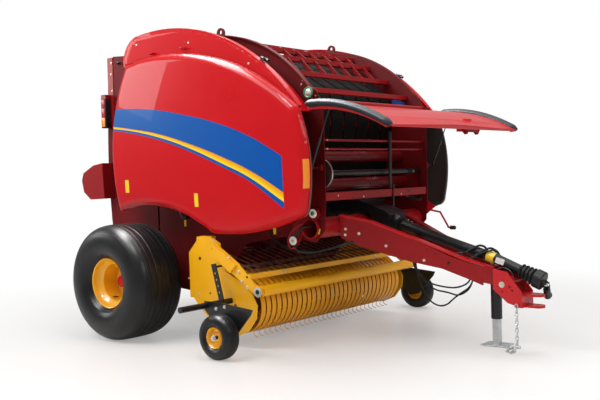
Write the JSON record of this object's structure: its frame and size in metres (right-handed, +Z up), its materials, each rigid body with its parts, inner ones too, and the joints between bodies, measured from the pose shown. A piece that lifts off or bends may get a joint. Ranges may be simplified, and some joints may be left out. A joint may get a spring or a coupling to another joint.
{
  "type": "towed round baler",
  "caption": "Towed round baler with gull-wing side shields, open net hood, lifting tailgate, tined pickup with wind guard, gauge wheels, drawbar and jack.",
  "frame": {"origin": "centre of the bounding box on the ground", "axes": "+X forward to the drawbar, +Y to the machine's left, +Z up"},
  "size_m": [4.5976, 3.34, 2.7777],
  "materials": {
    "tyre": "ribbed rubber",
    "rim_yellow": "satin",
    "red_paint": "gloss",
    "roll_red": "satin",
    "black_paint": "satin",
    "yellow_paint": "satin",
    "black_plastic": "matte",
    "belt_rubber": "matte",
    "seal_rubber": "matte",
    "spring_steel": "dull",
    "zinc": "galvanised",
    "rod_chrome": "polished",
    "lamp_red": "gloss",
    "hose_rubber": "satin"
  },
  "bodies": {
    "frame": {"side_sheet_right": "red_paint", "side_sheet_left": "red_paint", "top_strip_right": "red_paint", "top_strip_left": "red_paint", "axle": "red_paint", "cross_members": "red_paint", "guide_grid": "red_paint", "tongue": "red_paint", "hitch": "red_paint", "jack_tube": "black_paint", "driveline_guard": "black_paint", "pto_shaft": "black_plastic", "hose_rack": "red_paint", "net_tube": "black_paint", "guide_rods": "red_paint", "front_lever": "black_paint", "crank_handle": "black_paint", "linkage_feet": "red_paint", "disc_bracket": "red_paint", "front_belts": "belt_rubber", "front_rollers": "roll_red", "safety_chain": "zinc", "hose_front": "hose_rubber", "hose_middle": "hose_rubber", "hose_rear": "hose_rubber"},
    "tailgate": {"tail_sheet_right": "red_paint", "tail_sheet_left": "red_paint", "tail_tubes": "red_paint", "tail_rollers": "red_paint", "tail_belts": "belt_rubber", "rear_lamps": "lamp_red", "rear_box": "red_paint"},
    "shield_right": {"shield_right": "red_paint"},
    "shield_left": {"shield_left": "red_paint"},
    "hood": {"hood_panel": "red_paint", "hood_seals": "seal_rubber"},
    "jack_leg": {"jack_leg": "zinc"},
    "wheel_right": {"tyre_right": "tyre", "rim_right": "rim_yellow"},
    "wheel_left": {"tyre_left": "tyre", "rim_left": "rim_yellow"},
    "pickup": {"pickup_side_right": "yellow_paint", "pickup_side_left": "yellow_paint", "pickup_bands": "yellow_paint", "gauge_arm_right": "black_paint", "gauge_arm_left": "black_paint"},
    "reel": {"reel": "spring_steel"},
    "wind_guard": {"guard_arms": "yellow_paint", "guard_rods": "spring_steel"},
    "guard_roller": {"guard_roller": "black_paint"},
    "gauge_wheel_right": {"gauge_tyre_right": "tyre", "gauge_rim_right": "rim_yellow"},
    "gauge_wheel_left": {"gauge_tyre_left": "tyre", "gauge_rim_left": "rim_yellow"},
    "feed_rotor": {"feed_rotor": "black_paint"},
    "strut_tubes": {"strut_tubes": "black_paint"},
    "strut_rods": {"strut_rods": "rod_chrome"},
    "cylinder_tubes": {"cylinder_tubes": "black_paint"},
    "cylinder_rods": {"cylinder_rods": "rod_chrome"}
  },
  "joints": [
    {"name": "tailgate_lift", "type": "hinge", "parent": "frame", "child": "tailgate", "pos_m": [-1.19383, 0, 2.54], "axis": [0, 1, 0], "range_deg": [0, 60]},
    {"name": "hood_lid", "type": "hinge", "parent": "frame", "child": "hood", "pos_m": [0.77417, 0, 2.016], "axis": [0, 1, 0], "range_deg": [0, 66]},
    {"name": "shield_right_swing", "type": "hinge", "parent": "frame", "child": "shield_right", "pos_m": [-1.19383, -1.082, 2.572], "axis": [-1, 0, 0], "range_deg": [0, 75]},
    {"name": "shield_left_swing", "type": "hinge", "parent": "frame", "child": "shield_left", "pos_m": [-1.19383, 1.082, 2.572], "axis": [1, 0, 0], "range_deg": [0, 75]},
    {"name": "pickup_lift", "type": "hinge", "parent": "frame", "child": "pickup", "pos_m": [-0.55383, 0, 0.65], "axis": [0, -1, 0], "range_deg": [0, 9]},
    {"name": "reel_spin", "type": "hinge", "parent": "pickup", "child": "reel", "pos_m": [0.01117, 0, 0.355], "axis": [0, 1, 0], "continuous": true},
    {"name": "wind_guard_lift", "type": "hinge", "parent": "pickup", "child": "wind_guard", "pos_m": [-0.18383, 0, 0.85], "axis": [0, -1, 0], "range_deg": [0, 12]},
    {"name": "guard_roller_spin", "type": "hinge", "parent": "wind_guard", "child": "guard_roller", "pos_m": [0.32617, 0, 0.505], "axis": [0, 1, 0], "continuous": true},
    {"name": "gauge_wheel_right_spin", "type": "hinge", "parent": "pickup", "child": "gauge_wheel_right", "pos_m": [0.18617, -1.474, 0.18], "axis": [0, 1, 0], "continuous": true},
    {"name": "wheel_right_spin", "type": "hinge", "parent": "frame", "child": "wheel_right", "pos_m": [-1.19383, -1.27, 0.521], "axis": [0, 1, 0], "continuous": true},
    {"name": "gauge_wheel_left_spin", "type": "hinge", "parent": "pickup", "child": "gauge_wheel_left", "pos_m": [0.18617, 1.474, 0.18], "axis": [0, 1, 0], "continuous": true},
    {"name": "wheel_left_spin", "type": "hinge", "parent": "frame", "child": "wheel_left", "pos_m": [-1.19383, 1.27, 0.521], "axis": [0, 1, 0], "continuous": true},
    {"name": "feed_rotor_spin", "type": "hinge", "parent": "frame", "child": "feed_rotor", "pos_m": [-0.55383, 0, 0.65], "axis": [0, 1, 0], "continuous": true},
    {"name": "jack_leg_extend", "type": "slide", "parent": "frame", "child": "jack_leg", "axis": [0, 0, -1], "range_m": [0, 0.2]},
    {"name": "cylinder_foot", "type": "hinge", "parent": "frame", "child": "cylinder_tubes", "pos_m": [-0.84383, 0, 1.1], "axis": [0, 1, 0], "range_deg": [0, 0.576]},
    {"name": "cylinder_rod", "type": "slide", "parent": "cylinder_tubes", "child": "cylinder_rods", "axis": [-0.5647, 0, 0.8253], "range_m": [0, 0.582]},
    {"name": "strut_foot", "type": "hinge", "parent": "frame", "child": "strut_tubes", "pos_m": [0.73117, 0, 1.494], "axis": [0, 1, 0], "range_deg": [-12.88, 0]},
    {"name": "strut_rod", "type": "slide", "parent": "strut_tubes", "child": "strut_rods", "axis": [0.3932, 0, 0.9195], "range_m": [-0.1515, 0]}
  ],
  "couplings": [
    {"joint": "cylinder_foot", "follows": "tailgate_lift", "ratio": 0.0096},
    {"joint": "cylinder_rod", "follows": "tailgate_lift", "m_per_rad": 0.5558},
    {"joint": "strut_foot", "follows": "hood_lid", "ratio": -0.1951},
    {"joint": "strut_rod", "follows": "hood_lid", "m_per_rad": -0.1315}
  ]
}
